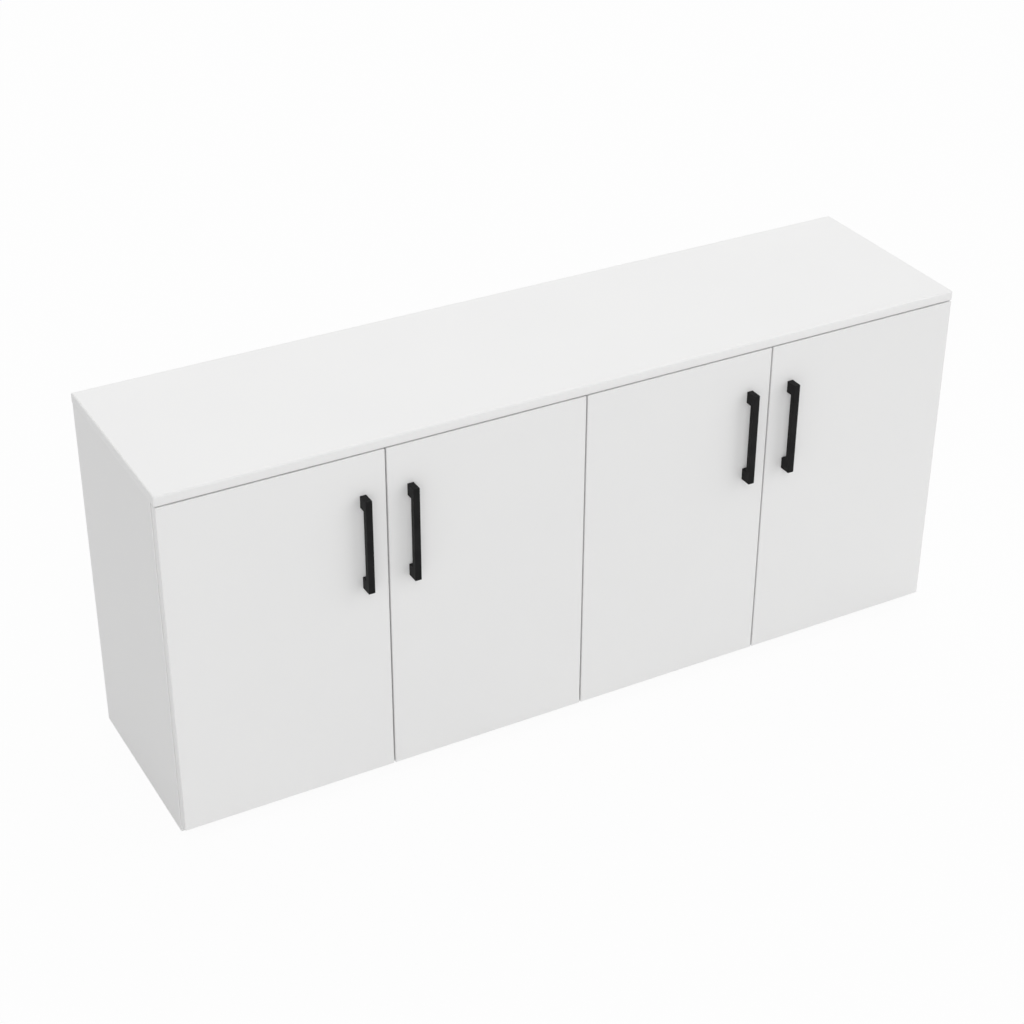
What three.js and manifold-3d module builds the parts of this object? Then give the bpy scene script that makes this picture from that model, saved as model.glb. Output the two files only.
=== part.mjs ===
// Office credenza: a white board cupboard with four overlay doors on concealed cup hinges.
// Millimetres, +Z up, -Y is the front, the origin is on the floor under the middle of the whole.
import * as THREE from "three";
import { mergeVertices } from "three/addons/utils/BufferGeometryUtils.js";
import { ConvexGeometry } from "three/addons/geometries/ConvexGeometry.js";
import Module from "manifold-3d";

const wasm = await Module();
wasm.setup();

// Overall sizes
const WIDTH = 1600;
const DEPTH = 400;
const HEIGHT = 700;

// Boards
const TOP_THICKNESS = 18;
const SIDE_THICKNESS = 18;
const PARTITION_THICKNESS = 18;
const BOTTOM_THICKNESS = 18;
const SHELF_THICKNESS = 18;
const DOOR_THICKNESS = 18;
const BACK_THICKNESS = 6;
const EASED_EDGE = 0.8;
const TOP_ROUNDED_EDGE = 2;
const BACK_EASED_EDGE = 0.3;
const TOP_SIDE_OVERHANG = 0.5;
const TOP_BACK_OVERHANG = 3;
const BOTTOM_CLEAR_OF_FLOOR = 21;

// Back panel in its grooves
const GROOVE_DEPTH = 7;
const GROOVE_FROM_BACK = 12;
const GROOVE_CLEARANCE = 0.3;

// Doors
const OUTER_DOOR_WIDTH = 406.5;
const DOOR_CLEAR_OF_FLOOR = 18;
const DOOR_SPACING = 3;
const DOOR_UNDER_TOP = 3;
const DOOR_TO_CARCASS = 2;
const DOOR_REVEAL = 1;

// Bar pulls
const PULL_LENGTH = 185;
const PULL_WIDTH = 12;
const PULL_PROJECTION = 24;
const PULL_BAR_DEPTH = 11;
const PULL_LEG_HEIGHT = 23;
const PULL_EASED_EDGE = 0.5;
const PULL_FROM_DOOR_EDGE = 43;
const PULL_BELOW_DOOR_TOP = 78;

// Loose shelves on pins, with a column of spare holes near the front and the back of each bay
const SHELF_HEIGHT = 360;
const SHELF_END_CLEARANCE = 1;
const SHELF_SETBACK = 20;
const SHELF_BACK_CLEARANCE = 2;
const HOLE_PITCH = 32;
const HOLES_EACH_WAY = 2;
const HOLE_RADIUS = 2.5;
const HOLE_DEPTH = 8;
const HOLE_FROM_EDGE = 37;
const HOLE_SIDES = 8;
const PIN_CLEARANCE = 0.3;
const PIN_COLLAR_RADIUS = 3.6;
const PIN_COLLAR_THICKNESS = 1.2;
const PIN_TONGUE_LENGTH = 9;
const PIN_TONGUE_WIDTH = 8;
const PIN_TONGUE_THICKNESS = 2.4;
const SHELF_SEAT_CLEARANCE = 0.2;

// Floor contacts
const SKID_THICKNESS = 3;
const SKID_WIDTH = 14;
const SKID_INSET = 10;
const FOOT_PAD_RADIUS = 20;
const FOOT_PAD_HEIGHT = 5;
const FOOT_STEM_RADIUS = 8;
const FOOT_PLATE_RADIUS = 16;
const FOOT_PLATE_THICKNESS = 3;
const ROUND_SIDES = 22;

// Concealed hinges: a cup in the door, an arm on the carcass and two links between them
const HINGE_FROM_DOOR_END = 100;
const CUP_BORE_RADIUS = 17.5;
const CUP_BORE_DEPTH = 12.3;
const CUP_FROM_DOOR_EDGE = 4;
const CUP_CLEARANCE = 0.3;
const CUP_DEPTH = 11.8;
const CUP_WALL = 1;
const FLANGE_THICKNESS = 1;
const FLANGE_RIM = 1.5;
const FLANGE_SCREW_SPACING = 48;
const FLANGE_SCREW_OFFSET = 6;
const FLANGE_EAR_RADIUS = 7;
const PIVOT_RADIUS = 1.1;
const PIVOT_CLEARANCE = 0.3;
const PIVOT_SIDES = 8;
const LINK_EYE_RADIUS = 2.4;
const LINK_HALF_THICKNESS = 1;
const OUTER_LINK_HALF_WIDTH = 3.2;
const INNER_LINK_PLATE = 1.6;
const LINK_SPACING = 0.4;
const CHEEK_SPACING = 0.6;
const INNER_LINK_STUB = 2.4;
const INNER_LINK_TIE_FROM_PIVOT = 7.5;
const ARM_SHEET = 1.4;
const ARM_BACK_END = 66;
const ARM_WEB_AT = 34;
const ARM_WEB_FRONT = 30;
const ARM_NOSE_CLEARANCE = 1.4;
const ARM_NOSE_END = 43;
const BASE_THICKNESS = 2.5;
const BASE_FRONT = 28;
const BASE_HALF_HEIGHT = 8;
const BASE_SCREW_LINE = 39;
const WING_HALF_LENGTH = 6;
const WING_HALF_HEIGHT = 22;

// Hinge points with the door shut: distance in from the cup's near edge, then distance behind the door's back
const OUTER_ARM_PIVOT = [24, 23.5];
const OUTER_CUP_PIVOT = [4.8, -5];
const INNER_ARM_PIVOT = [40, 5];
const INNER_CUP_PIVOT = [11.2, -4.4];
const OUTER_LINK_NECK = [11.7, -8.9];
const OUTER_LINK_SHOULDER = [17, -1];

// Planes and edges that several pieces share
const FRONT = -(DEPTH + PULL_PROJECTION) / 2 + PULL_PROJECTION;
const TOP_BACK = FRONT + DEPTH;
const DOOR_BACK = FRONT + DOOR_THICKNESS;
const CARCASS_FRONT = DOOR_BACK + DOOR_TO_CARCASS;
const CARCASS_BACK = TOP_BACK - TOP_BACK_OVERHANG;
const TOP_UNDERSIDE = HEIGHT - TOP_THICKNESS;
const SIDE_OUTER = WIDTH / 2 - TOP_SIDE_OVERHANG;
const SIDE_INNER = SIDE_OUTER - SIDE_THICKNESS;
const PARTITION_FACE = PARTITION_THICKNESS / 2;
const BOTTOM_TOP = BOTTOM_CLEAR_OF_FLOOR + BOTTOM_THICKNESS;
const GROOVE_BACK = CARCASS_BACK - GROOVE_FROM_BACK;
const BACK_FACE = GROOVE_BACK - GROOVE_CLEARANCE;
const BACK_FRONT = BACK_FACE - BACK_THICKNESS;
const GROOVE_FRONT = BACK_FRONT - GROOVE_CLEARANCE;
const DOOR_BOTTOM = DOOR_CLEAR_OF_FLOOR;
const DOOR_TOP = TOP_UNDERSIDE - DOOR_UNDER_TOP;
const OUTER_DOOR_EDGE = SIDE_OUTER - DOOR_REVEAL;
const INNER_DOOR_EDGE = DOOR_SPACING / 2;
const DOORS_MEET = OUTER_DOOR_EDGE - OUTER_DOOR_WIDTH - DOOR_SPACING / 2;
const OUTER_OVERLAY = OUTER_DOOR_EDGE - SIDE_INNER;
const INNER_OVERLAY = PARTITION_FACE - INNER_DOOR_EDGE;
const CUP_CENTRE = CUP_FROM_DOOR_EDGE + CUP_BORE_RADIUS;
const CUP_RADIUS = CUP_BORE_RADIUS - CUP_CLEARANCE;
const CUP_INNER_RADIUS = CUP_RADIUS - CUP_WALL;
const FORK_INNER = OUTER_LINK_HALF_WIDTH + LINK_SPACING;
const FORK_OUTER = FORK_INNER + INNER_LINK_PLATE;
const CHEEK_INNER = FORK_OUTER + CHEEK_SPACING;
const CHEEK_OUTER = CHEEK_INNER + ARM_SHEET;
const HOLE_COLUMNS = [CARCASS_FRONT + HOLE_FROM_EDGE, BACK_FRONT - HOLE_FROM_EDGE];
const TONGUE_TOP = SHELF_HEIGHT - SHELF_SEAT_CLEARANCE;
const HOLE_MIDDLE = TONGUE_TOP - HOLE_RADIUS + PIN_CLEARANCE;

// Pieces of one solid reach this far into each other, and corners closer than the weld are one
const FUSE = 0.5;
const WELD = 1e-4;

// Finishes: colour, roughness and metalness
const FINISHES = {
  board: [0xe9e9e7, 0.45, 0],
  black: [0x1b1b1c, 0.5, 0.4],
  steel: [0xb9bbbd, 0.3, 1],
  plastic: [0x2a2a2b, 0.6, 0],
};

// Turns a closed geometry into a solid that can be joined and cut.
function solidOf(geometry) {
  const bare = geometry.index ? geometry.toNonIndexed() : geometry.clone();
  bare.deleteAttribute("normal");
  bare.deleteAttribute("uv");
  const merged = mergeVertices(bare, WELD);
  const corners = merged.index.array;
  const kept = [];
  for (let i = 0; i < corners.length; i += 3) {
    const [a, b, c] = [corners[i], corners[i + 1], corners[i + 2]];
    if (a !== b && b !== c && c !== a) kept.push(a, b, c);
  }
  const mesh = new wasm.Mesh({
    numProp: 3,
    vertProperties: new Float32Array(merged.attributes.position.array),
    triVerts: new Uint32Array(kept),
  });
  mesh.merge();
  return new wasm.Manifold(mesh);
}

// Turns a solid back into a geometry.
function geometryOf(solid) {
  const mesh = solid.getMesh();
  const geometry = new THREE.BufferGeometry();
  geometry.setAttribute("position", new THREE.BufferAttribute(new Float32Array(mesh.vertProperties), 3));
  geometry.setIndex(new THREE.BufferAttribute(new Uint32Array(mesh.triVerts), 1));
  geometry.computeVertexNormals();
  return geometry;
}

// The ways in which a board's corner reaches out from the middle of its easing
const CHAMFERED = [[1, 0, 0], [0, 1, 0], [0, 0, 1]];
const DIAGONALS = [[1, 1, 0], [1, 0, 1], [0, 1, 1]].map((way) => way.map((share) => share * Math.SQRT1_2));
const ROUNDED = [...CHAMFERED, ...DIAGONALS];

// A board with eased edges, between two corners.
function boardGeometry(low, high, ease, corner = CHAMFERED) {
  const points = [];
  for (let index = 0; index < 8; index += 1) {
    for (const reach of corner) {
      const at = reach.map((share, axis) => {
        const inset = ease * (1 - share);
        return (index >> axis) & 1 ? high[axis] - inset : low[axis] + inset;
      });
      points.push(new THREE.Vector3(...at));
    }
  }
  return new ConvexGeometry(points);
}

function block(low, high) {
  const size = [0, 1, 2].map((axis) => high[axis] - low[axis]);
  const box = new THREE.BoxGeometry(...size);
  box.translate(low[0] + size[0] / 2, low[1] + size[1] / 2, low[2] + size[2] / 2);
  return solidOf(box);
}

// A round bar along one axis, from its middle and its two ends on that axis.
function roundBar(axis, middle, from, to, radius, sides) {
  const bar = new THREE.CylinderGeometry(radius, radius, to - from, sides);
  if (axis === "x") bar.rotateZ(Math.PI / 2);
  if (axis === "z") bar.rotateX(Math.PI / 2);
  const centre = (from + to) / 2;
  if (axis === "x") bar.translate(centre, middle[0], middle[1]);
  if (axis === "y") bar.translate(middle[0], centre, middle[1]);
  if (axis === "z") bar.translate(middle[0], middle[1], centre);
  return solidOf(bar);
}

const credenza = new THREE.Group();

function addPiece(name, geometry, finish) {
  const [color, roughness, metalness] = FINISHES[finish];
  const piece = new THREE.Mesh(geometry, new THREE.MeshStandardMaterial({ color, roughness, metalness }));
  piece.name = name;
  credenza.add(piece);
}

// The pin holes in one inner face: side is +1 where the board's face looks towards +X.
function pinHoles(face, side) {
  const cutters = [];
  const ends = [face - side * HOLE_DEPTH, face + side * HOLE_DEPTH];
  for (const y of HOLE_COLUMNS) {
    for (let row = -HOLES_EACH_WAY; row <= HOLES_EACH_WAY; row += 1) {
      const z = HOLE_MIDDLE + row * HOLE_PITCH;
      cutters.push(roundBar("x", [y, z], Math.min(...ends), Math.max(...ends), HOLE_RADIUS, HOLE_SIDES));
    }
  }
  return cutters;
}

function cutAll(solid, cutters) {
  return cutters.reduce((left, cutter) => left.subtract(cutter), solid);
}

// Carcass: the verticals carry the top, the bottom board and the back panel's grooves
function addCarcass() {
  addPiece(
    "top_panel",
    boardGeometry(
      [-WIDTH / 2, FRONT, TOP_UNDERSIDE],
      [WIDTH / 2, TOP_BACK, HEIGHT],
      TOP_ROUNDED_EDGE,
      ROUNDED,
    ),
    "board",
  );
  for (const [name, hand] of [["left_side", -1], ["right_side", 1]]) {
    const across = [hand * SIDE_OUTER, hand * SIDE_INNER].sort((a, b) => a - b);
    const side = boardGeometry(
      [across[0], CARCASS_FRONT, SKID_THICKNESS],
      [across[1], CARCASS_BACK, TOP_UNDERSIDE],
      EASED_EDGE,
    );
    const reach = [SIDE_INNER - GROOVE_DEPTH, SIDE_INNER + GROOVE_DEPTH].map((x) => hand * x);
    reach.sort((a, b) => a - b);
    const groove = block([reach[0], GROOVE_FRONT, 0], [reach[1], GROOVE_BACK, HEIGHT]);
    const holes = pinHoles(hand * SIDE_INNER, -hand);
    addPiece(name, geometryOf(cutAll(solidOf(side), [groove, ...holes])), "board");
  }
  const partition = boardGeometry(
    [-PARTITION_FACE, CARCASS_FRONT, BOTTOM_TOP],
    [PARTITION_FACE, GROOVE_FRONT, TOP_UNDERSIDE],
    EASED_EDGE,
  );
  const partitionHoles = [...pinHoles(PARTITION_FACE, 1), ...pinHoles(-PARTITION_FACE, -1)];
  addPiece("centre_partition", geometryOf(cutAll(solidOf(partition), partitionHoles)), "board");
  addPiece(
    "bottom_panel",
    boardGeometry(
      [-SIDE_INNER, CARCASS_FRONT, BOTTOM_CLEAR_OF_FLOOR],
      [SIDE_INNER, GROOVE_FRONT, BOTTOM_TOP],
      EASED_EDGE,
    ),
    "board",
  );
  const backReach = SIDE_INNER + GROOVE_DEPTH - GROOVE_CLEARANCE;
  addPiece(
    "back_panel",
    boardGeometry(
      [-backReach, BACK_FRONT, BOTTOM_CLEAR_OF_FLOOR],
      [backReach, BACK_FACE, TOP_UNDERSIDE - GROOVE_CLEARANCE],
      BACK_EASED_EDGE,
    ),
    "board",
  );
}

// Floor contacts: a plastic skid under each end panel and one foot under the middle of the bottom board
function addFloorContacts() {
  for (const [name, hand] of [["left_skid", -1], ["right_skid", 1]]) {
    const middle = hand * (SIDE_OUTER + SIDE_INNER) / 2;
    const radius = SKID_WIDTH / 2;
    const ends = [CARCASS_FRONT + SKID_INSET + radius, CARCASS_BACK - SKID_INSET - radius];
    const outline = new THREE.Shape();
    outline.absarc(middle, ends[0], radius, Math.PI, 2 * Math.PI);
    outline.absarc(middle, ends[1], radius, 0, Math.PI);
    const skid = new THREE.ExtrudeGeometry(outline, {
      depth: SKID_THICKNESS,
      bevelEnabled: false,
      curveSegments: HOLE_SIDES,
    });
    addPiece(name, geometryOf(solidOf(skid)), "plastic");
  }
  const profile = [
    [0, 0],
    [FOOT_PAD_RADIUS, 0],
    [FOOT_PAD_RADIUS, FOOT_PAD_HEIGHT],
    [FOOT_STEM_RADIUS, FOOT_PAD_HEIGHT],
    [FOOT_STEM_RADIUS, BOTTOM_CLEAR_OF_FLOOR - FOOT_PLATE_THICKNESS],
    [FOOT_PLATE_RADIUS, BOTTOM_CLEAR_OF_FLOOR - FOOT_PLATE_THICKNESS],
    [FOOT_PLATE_RADIUS, BOTTOM_CLEAR_OF_FLOOR],
    [0, BOTTOM_CLEAR_OF_FLOOR],
  ].map((point) => new THREE.Vector2(...point));
  const foot = new THREE.LatheGeometry(profile, ROUND_SIDES);
  foot.rotateX(Math.PI / 2);
  foot.translate(0, (CARCASS_FRONT + CARCASS_BACK) / 2, 0);
  addPiece("centre_foot", geometryOf(solidOf(foot)), "plastic");
}

// Shelves: each lies loose on the flat tongues of four pins
function addShelves() {
  for (const [name, hand] of [["left_shelf", -1], ["right_shelf", 1]]) {
    const ends = [hand * (PARTITION_FACE + SHELF_END_CLEARANCE), hand * (SIDE_INNER - SHELF_END_CLEARANCE)];
    ends.sort((a, b) => a - b);
    addPiece(
      name,
      boardGeometry(
        [ends[0], CARCASS_FRONT + SHELF_SETBACK, SHELF_HEIGHT],
        [ends[1], BACK_FRONT - SHELF_BACK_CLEARANCE, SHELF_HEIGHT + SHELF_THICKNESS],
        EASED_EDGE,
      ),
      "board",
    );
    const faces = [[hand * PARTITION_FACE, hand], [hand * SIDE_INNER, -hand]];
    faces.forEach(([face, out], faceIndex) => {
      HOLE_COLUMNS.forEach((y, columnIndex) => {
        addPiece(`${name}_pin_${faceIndex * 2 + columnIndex + 1}`, shelfPin(face, out, y), "steel");
      });
    });
  }
}

// A steel pin: a shank in the hole, a collar against the board and a flat tongue under the shelf.
function shelfPin(face, out, y) {
  const span = (near, far) => [face + out * near, face + out * far].sort((a, b) => a - b);
  const shankRadius = HOLE_RADIUS - PIN_CLEARANCE;
  const shank = span(PIN_CLEARANCE - HOLE_DEPTH, PIN_COLLAR_THICKNESS);
  const collar = span(0, PIN_COLLAR_THICKNESS);
  const tongue = span(PIN_COLLAR_THICKNESS - FUSE, PIN_COLLAR_THICKNESS + PIN_TONGUE_LENGTH);
  const collarMiddle = TONGUE_TOP - PIN_COLLAR_RADIUS;
  return geometryOf(
    roundBar("x", [y, HOLE_MIDDLE], ...shank, shankRadius, HOLE_SIDES)
      .add(roundBar("x", [y, collarMiddle], ...collar, PIN_COLLAR_RADIUS, HOLE_SIDES))
      .add(
        block(
          [tongue[0], y - PIN_TONGUE_WIDTH / 2, TONGUE_TOP - PIN_TONGUE_THICKNESS],
          [tongue[1], y + PIN_TONGUE_WIDTH / 2, TONGUE_TOP],
        ),
      ),
  );
}

// A strap of even thickness along a bent line, with a round eye at each end.
function strapShape(line) {
  const normals = [];
  for (let i = 0; i + 1 < line.length; i += 1) {
    const along = line[i + 1].clone().sub(line[i]).normalize();
    normals.push(new THREE.Vector2(-along.y, along.x));
  }
  const edge = (sign) =>
    line.map((point, i) => {
      const before = normals[Math.max(i - 1, 0)];
      const after = normals[Math.min(i, normals.length - 1)];
      const miter = before.clone().add(after).normalize();
      return point.clone().addScaledVector(miter, (sign * LINK_HALF_THICKNESS) / miter.dot(after));
    });
  return new THREE.Shape([...edge(1), ...edge(-1).reverse()]);
}

// The hinge at one height of one door.
// edge is the door's hinge edge, and hand is +1 where the door lies to its right.
function hinge(edge, hand, overlay, height) {
  const cupEdge = edge + hand * CUP_FROM_DOOR_EDGE;
  const place = ([inward, behind]) => new THREE.Vector2(cupEdge + hand * inward, DOOR_BACK + behind);
  const across = (from, to) => [cupEdge + hand * from, cupEdge + hand * to].sort((a, b) => a - b);
  const slab = (shape, from, to) => {
    const plate = new THREE.ExtrudeGeometry(shape, { depth: to - from, bevelEnabled: false });
    plate.translate(0, 0, height + from);
    return solidOf(plate);
  };
  const post = (pivot, from, to, radius) => {
    const at = place(pivot);
    return roundBar("z", [at.x, at.y], height + from, height + to, radius, PIVOT_SIDES);
  };
  const plateBlock = (inward, behind, upward) => {
    const x = across(...inward);
    return block(
      [x[0], DOOR_BACK + behind[0], height + upward[0]],
      [x[1], DOOR_BACK + behind[1], height + upward[1]],
    );
  };
  const boreRadius = PIVOT_RADIUS + PIVOT_CLEARANCE;

  const cup = () => {
    const centre = cupEdge + hand * CUP_BORE_RADIUS;
    const profile = [
      [0, -CUP_DEPTH],
      [CUP_RADIUS, -CUP_DEPTH],
      [CUP_RADIUS, FLANGE_THICKNESS],
      [CUP_INNER_RADIUS, FLANGE_THICKNESS],
      [CUP_INNER_RADIUS, CUP_WALL - CUP_DEPTH],
      [0, CUP_WALL - CUP_DEPTH],
    ].map((point) => new THREE.Vector2(...point));
    const bowl = new THREE.LatheGeometry(profile, ROUND_SIDES);
    bowl.translate(centre, DOOR_BACK, height);
    const points = [];
    const ring = (x, z, radius) => {
      for (let i = 0; i < ROUND_SIDES; i += 1) {
        const angle = (2 * Math.PI * i) / ROUND_SIDES;
        for (const y of [DOOR_BACK, DOOR_BACK + FLANGE_THICKNESS]) {
          points.push(new THREE.Vector3(x + radius * Math.cos(angle), y, z + radius * Math.sin(angle)));
        }
      }
    };
    ring(centre, height, CUP_BORE_RADIUS + FLANGE_RIM);
    for (const end of [-1, 1]) {
      ring(centre + hand * FLANGE_SCREW_OFFSET, height + (end * FLANGE_SCREW_SPACING) / 2, FLANGE_EAR_RADIUS);
    }
    const mouth = roundBar(
      "y",
      [centre, height],
      DOOR_BACK - FUSE,
      DOOR_BACK + FLANGE_THICKNESS + FUSE,
      CUP_INNER_RADIUS,
      ROUND_SIDES,
    );
    const chord = CUP_BORE_RADIUS - OUTER_CUP_PIVOT[0];
    const pinEnd = Math.sqrt(CUP_INNER_RADIUS ** 2 - chord ** 2) + FUSE / 2;
    return solidOf(bowl)
      .add(solidOf(new ConvexGeometry(points)).subtract(mouth))
      .add(post(OUTER_CUP_PIVOT, -pinEnd, pinEnd, PIVOT_RADIUS));
  };

  const outerLink = () => {
    const width = OUTER_LINK_HALF_WIDTH;
    const line = [OUTER_CUP_PIVOT, OUTER_LINK_NECK, OUTER_LINK_SHOULDER, OUTER_ARM_PIVOT].map(place);
    let link = slab(strapShape(line), -width, width);
    for (const pivot of [OUTER_CUP_PIVOT, OUTER_ARM_PIVOT]) {
      link = link.add(post(pivot, -width, width, LINK_EYE_RADIUS));
    }
    for (const pivot of [OUTER_CUP_PIVOT, OUTER_ARM_PIVOT]) {
      link = link.subtract(post(pivot, -width - FUSE, width + FUSE, boreRadius));
    }
    return link;
  };

  const innerLink = () => {
    const line = [INNER_CUP_PIVOT, INNER_ARM_PIVOT].map(place);
    const armEnd = new THREE.Vector2(...INNER_ARM_PIVOT);
    const along = new THREE.Vector2(...INNER_CUP_PIVOT).sub(armEnd).normalize();
    const tie = armEnd.addScaledVector(along, INNER_LINK_TIE_FROM_PIVOT);
    let link = post(tie.toArray(), -FORK_OUTER, FORK_OUTER, LINK_HALF_THICKNESS);
    for (const end of [-1, 1]) {
      const plate = [end * FORK_INNER, end * FORK_OUTER].sort((a, b) => a - b);
      const stub = [end * FORK_INNER, end * (FORK_OUTER + INNER_LINK_STUB)].sort((a, b) => a - b);
      link = link
        .add(slab(strapShape(line), ...plate))
        .add(post(INNER_ARM_PIVOT, ...plate, LINK_EYE_RADIUS))
        .add(post(INNER_CUP_PIVOT, ...stub, PIVOT_RADIUS))
        .add(post(INNER_CUP_PIVOT, ...plate, LINK_HALF_THICKNESS + FUSE));
    }
    return link.subtract(post(INNER_ARM_PIVOT, -FORK_OUTER - FUSE, FORK_OUTER + FUSE, boreRadius));
  };

  const arm = () => {
    const seat = overlay - CUP_FROM_DOOR_EDGE;
    const foot = seat + BASE_THICKNESS - FUSE;
    const nose = FLANGE_THICKNESS + ARM_NOSE_CLEARANCE;
    const heel = OUTER_ARM_PIVOT[0] - LINK_EYE_RADIUS - ARM_SHEET;
    const cheek = [
      [foot, ARM_WEB_FRONT],
      [foot, ARM_BACK_END],
      [ARM_WEB_AT, ARM_BACK_END],
      [ARM_WEB_AT, ARM_WEB_FRONT],
      [ARM_NOSE_END, INNER_ARM_PIVOT[1] + LINK_EYE_RADIUS],
      [ARM_NOSE_END, nose],
      [INNER_ARM_PIVOT[0] - LINK_EYE_RADIUS, nose],
      [heel, OUTER_ARM_PIVOT[1] - LINK_EYE_RADIUS],
      [heel, ARM_WEB_FRONT],
    ];
    const shape = new THREE.Shape(cheek.map(place));
    const pin = CHEEK_INNER + FUSE;
    return slab(shape, CHEEK_INNER, CHEEK_OUTER)
      .add(slab(shape, -CHEEK_OUTER, -CHEEK_INNER))
      .add(
        plateBlock(
          [ARM_WEB_AT - ARM_SHEET, ARM_WEB_AT],
          [ARM_WEB_FRONT, ARM_BACK_END],
          [-CHEEK_OUTER, CHEEK_OUTER],
        ),
      )
      .add(
        plateBlock(
          [seat, seat + BASE_THICKNESS],
          [BASE_FRONT, ARM_BACK_END],
          [-BASE_HALF_HEIGHT, BASE_HALF_HEIGHT],
        ),
      )
      .add(
        plateBlock(
          [seat, seat + BASE_THICKNESS],
          [BASE_SCREW_LINE - WING_HALF_LENGTH, BASE_SCREW_LINE + WING_HALF_LENGTH],
          [-WING_HALF_HEIGHT, WING_HALF_HEIGHT],
        ),
      )
      .add(post(OUTER_ARM_PIVOT, -pin, pin, PIVOT_RADIUS))
      .add(post(INNER_ARM_PIVOT, -pin, pin, PIVOT_RADIUS));
  };

  return { cup: cup(), outer_link: outerLink(), inner_link: innerLink(), arm: arm() };
}

// Bar pull: one bridge-shaped bar, square in section, with a leg at each end.
function pullGeometry(x, top) {
  const outline = new THREE.Shape();
  const reach = PULL_PROJECTION - PULL_EASED_EDGE;
  const gap = PULL_PROJECTION - PULL_BAR_DEPTH;
  const bottom = top - PULL_LENGTH;
  outline.moveTo(0, bottom);
  outline.lineTo(reach, bottom);
  outline.lineTo(PULL_PROJECTION, bottom + PULL_EASED_EDGE);
  outline.lineTo(PULL_PROJECTION, top - PULL_EASED_EDGE);
  outline.lineTo(reach, top);
  outline.lineTo(0, top);
  outline.lineTo(0, top - PULL_LEG_HEIGHT);
  outline.lineTo(gap, top - PULL_LEG_HEIGHT);
  outline.lineTo(gap, bottom + PULL_LEG_HEIGHT);
  outline.lineTo(0, bottom + PULL_LEG_HEIGHT);
  const pull = new THREE.ExtrudeGeometry(outline, { depth: PULL_WIDTH, bevelEnabled: false });
  pull.applyMatrix4(
    new THREE.Matrix4().set(0, 0, -1, x + PULL_WIDTH / 2, -1, 0, 0, FRONT, 0, 1, 0, 0, 0, 0, 0, 1),
  );
  return pull;
}

// Doors in pairs: each hangs on an end panel or on the centre partition, with its pull near the meeting edge.
function addDoors() {
  const outerFree = DOORS_MEET + DOOR_SPACING / 2;
  const innerFree = DOORS_MEET - DOOR_SPACING / 2;
  const doors = [
    { hingeEdge: -OUTER_DOOR_EDGE, freeEdge: -outerFree, hand: 1, overlay: OUTER_OVERLAY },
    { hingeEdge: -INNER_DOOR_EDGE, freeEdge: -innerFree, hand: -1, overlay: INNER_OVERLAY },
    { hingeEdge: INNER_DOOR_EDGE, freeEdge: innerFree, hand: 1, overlay: INNER_OVERLAY },
    { hingeEdge: OUTER_DOOR_EDGE, freeEdge: outerFree, hand: -1, overlay: OUTER_OVERLAY },
  ];
  const heights = { lower: DOOR_BOTTOM + HINGE_FROM_DOOR_END, upper: DOOR_TOP - HINGE_FROM_DOOR_END };
  doors.forEach(({ hingeEdge, freeEdge, hand, overlay }, index) => {
    const number = index + 1;
    const ends = [hingeEdge, freeEdge].sort((a, b) => a - b);
    const panel = boardGeometry([ends[0], FRONT, DOOR_BOTTOM], [ends[1], DOOR_BACK, DOOR_TOP], EASED_EDGE);
    const cupBores = Object.values(heights).map((height) =>
      roundBar(
        "y",
        [hingeEdge + hand * CUP_CENTRE, height],
        DOOR_BACK - CUP_BORE_DEPTH,
        DOOR_BACK + FUSE,
        CUP_BORE_RADIUS,
        ROUND_SIDES,
      ),
    );
    addPiece(`door_${number}`, geometryOf(cutAll(solidOf(panel), cupBores)), "board");
    const pullX = freeEdge - hand * PULL_FROM_DOOR_EDGE;
    addPiece(`handle_${number}`, pullGeometry(pullX, DOOR_TOP - PULL_BELOW_DOOR_TOP), "black");
    for (const [level, height] of Object.entries(heights)) {
      const pieces = hinge(hingeEdge, hand, overlay, height);
      for (const [kind, solid] of Object.entries(pieces)) {
        addPiece(`hinge_${number}_${level}_${kind}`, geometryOf(solid), "steel");
      }
    }
  });
}

addCarcass();
addFloorContacts();
addShelves();
addDoors();

export default credenza;
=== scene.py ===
import math

import bmesh
import bpy
from mathutils import Matrix, Vector


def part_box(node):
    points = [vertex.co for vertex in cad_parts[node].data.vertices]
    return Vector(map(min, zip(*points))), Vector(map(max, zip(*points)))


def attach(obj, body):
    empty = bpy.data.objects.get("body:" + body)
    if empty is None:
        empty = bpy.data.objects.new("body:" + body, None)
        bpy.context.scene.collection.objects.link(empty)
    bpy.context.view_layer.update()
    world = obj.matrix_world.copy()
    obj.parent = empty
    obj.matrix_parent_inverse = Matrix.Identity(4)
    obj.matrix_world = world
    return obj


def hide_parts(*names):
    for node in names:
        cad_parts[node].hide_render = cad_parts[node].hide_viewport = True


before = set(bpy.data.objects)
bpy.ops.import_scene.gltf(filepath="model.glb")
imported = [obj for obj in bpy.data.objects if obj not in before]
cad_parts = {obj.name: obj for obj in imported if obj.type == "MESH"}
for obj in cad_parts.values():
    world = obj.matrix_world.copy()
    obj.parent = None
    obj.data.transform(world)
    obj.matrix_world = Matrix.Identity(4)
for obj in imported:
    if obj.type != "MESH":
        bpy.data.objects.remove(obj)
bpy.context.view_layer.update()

# Camera
# A still camera on a high stand about four metres away, looking down on the cupboard from its left front.
# The lens, the distance and the slight roll are those that the picture's straight edges give.
# Lengths are in metres, here and in every section below.
AIM = Vector((-0.0395, 0.0120, 0.3459))
CAMERA_AZIMUTH = math.radians(-28.721)
CAMERA_ELEVATION = math.radians(31.443)
CAMERA_ROLL = math.radians(0.236)
CAMERA_DISTANCE = 4.0951
LENS_MM = 76.36

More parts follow.
